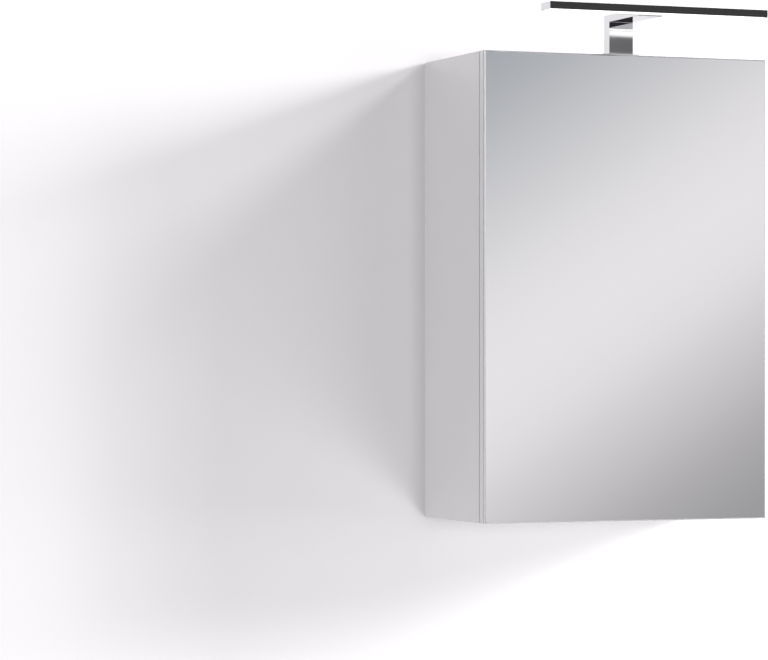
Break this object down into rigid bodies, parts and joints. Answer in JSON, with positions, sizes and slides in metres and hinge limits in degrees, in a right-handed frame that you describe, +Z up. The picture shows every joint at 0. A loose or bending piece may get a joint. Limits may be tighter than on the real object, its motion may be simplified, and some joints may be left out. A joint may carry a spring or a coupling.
{
  "type": "lighted mirror cabinet",
  "caption": "Slim white wall cabinet with a mirrored door on cup hinges, glass shelves, a switch and socket box, and a light bar on a chrome bracket above the mirror.",
  "frame": {"origin": "bottom centre of the cabinet's back, on the wall", "axes": "+Z up, +Y into the wall, so the mirror faces -Y, and +X to the right of someone who faces the mirror"},
  "size_m": [0.4, 0.296, 0.6542],
  "materials": {
    "cabinet_paint": "white satin lacquer on board",
    "back_board": "thin white faced board",
    "beech": "fluted dowel",
    "mirror": "silvered float glass with a ground arris",
    "shelf_glass": "clear glass with polished edges",
    "foam_tape": "double-sided foam tape",
    "clear_rubber": "soft translucent",
    "grey_rubber": "matt",
    "nickel_steel": "nickel plated",
    "zinc_steel": "zinc plated",
    "chrome": "polished chrome plate",
    "bar_metal": "polished dark",
    "white_plastic": "moulded, fine grain",
    "gloss_white_plastic": "moulded, glossy",
    "lit_diffuser": "opal, lit from behind",
    "led_phosphor": "LED chip",
    "brass": "bright",
    "lead_sheath": "smooth white sheath"
  },
  "bodies": {
    "cabinet": {"side_panel_left": "cabinet_paint", "side_panel_right": "cabinet_paint", "top_panel": "cabinet_paint", "bottom_panel": "cabinet_paint", "back_panel": "back_board", "dowels": "beech", "cam_discs": "zinc_steel", "cam_bolts": "zinc_steel", "cam_caps": "white_plastic", "shelf_lower": "shelf_glass", "shelf_upper": "shelf_glass", "shelf_pins_lower": "nickel_steel", "shelf_pins_upper": "nickel_steel", "hinge_arm_lower": "nickel_steel", "hinge_arm_upper": "nickel_steel", "hinge_plate_lower": "nickel_steel", "hinge_plate_upper": "nickel_steel", "plate_screws": "zinc_steel", "arm_screws": "zinc_steel", "hanger_left": "white_plastic", "hanger_right": "white_plastic", "hanger_hook_left": "zinc_steel", "hanger_hook_right": "zinc_steel", "wall_plate_left": "zinc_steel", "wall_plate_right": "zinc_steel", "hanger_adjusters": "zinc_steel", "hanger_screws": "zinc_steel", "lamp_base_plate": "chrome", "lamp_bracket": "chrome", "foot_screws": "zinc_steel", "bar_housing": "bar_metal", "bar_end_caps": "chrome", "bar_diffuser": "lit_diffuser", "bar_screws": "zinc_steel", "led_board": "gloss_white_plastic", "led_chips": "led_phosphor", "led_connector": "white_plastic", "lamp_lead": "lead_sheath", "lead_clip": "white_plastic", "power_box": "white_plastic", "power_box_front": "gloss_white_plastic", "front_screws": "zinc_steel", "box_screws": "zinc_steel", "socket_well": "gloss_white_plastic", "socket_sleeves": "brass", "earth_clips": "nickel_steel", "switch_frame": "gloss_white_plastic", "led_driver": "white_plastic", "terminal_block": "white_plastic", "cable_grommets": "grey_rubber"},
    "door": {"door_board": "cabinet_paint", "mirror_glass": "mirror", "mirror_tape": "foam_tape", "door_bumpers": "clear_rubber", "hinge_cup_lower": "nickel_steel", "hinge_cup_upper": "nickel_steel", "hinge_pin_lower": "nickel_steel", "hinge_pin_upper": "nickel_steel", "cup_screws": "zinc_steel"},
    "rocker": {"rocker": "gloss_white_plastic"}
  },
  "joints": [
    {"name": "door_swing", "type": "hinge", "parent": "cabinet", "child": "door", "pos_m": [0.19339, -0.1908, 0], "axis": [0, 0, 1], "range_deg": [0, 100]},
    {"name": "rocker_tilt", "type": "hinge", "parent": "cabinet", "child": "rocker", "pos_m": [-0.098, -0.175, 0.56], "axis": [1, 0, 0], "range_deg": [0, 16]}
  ]
}
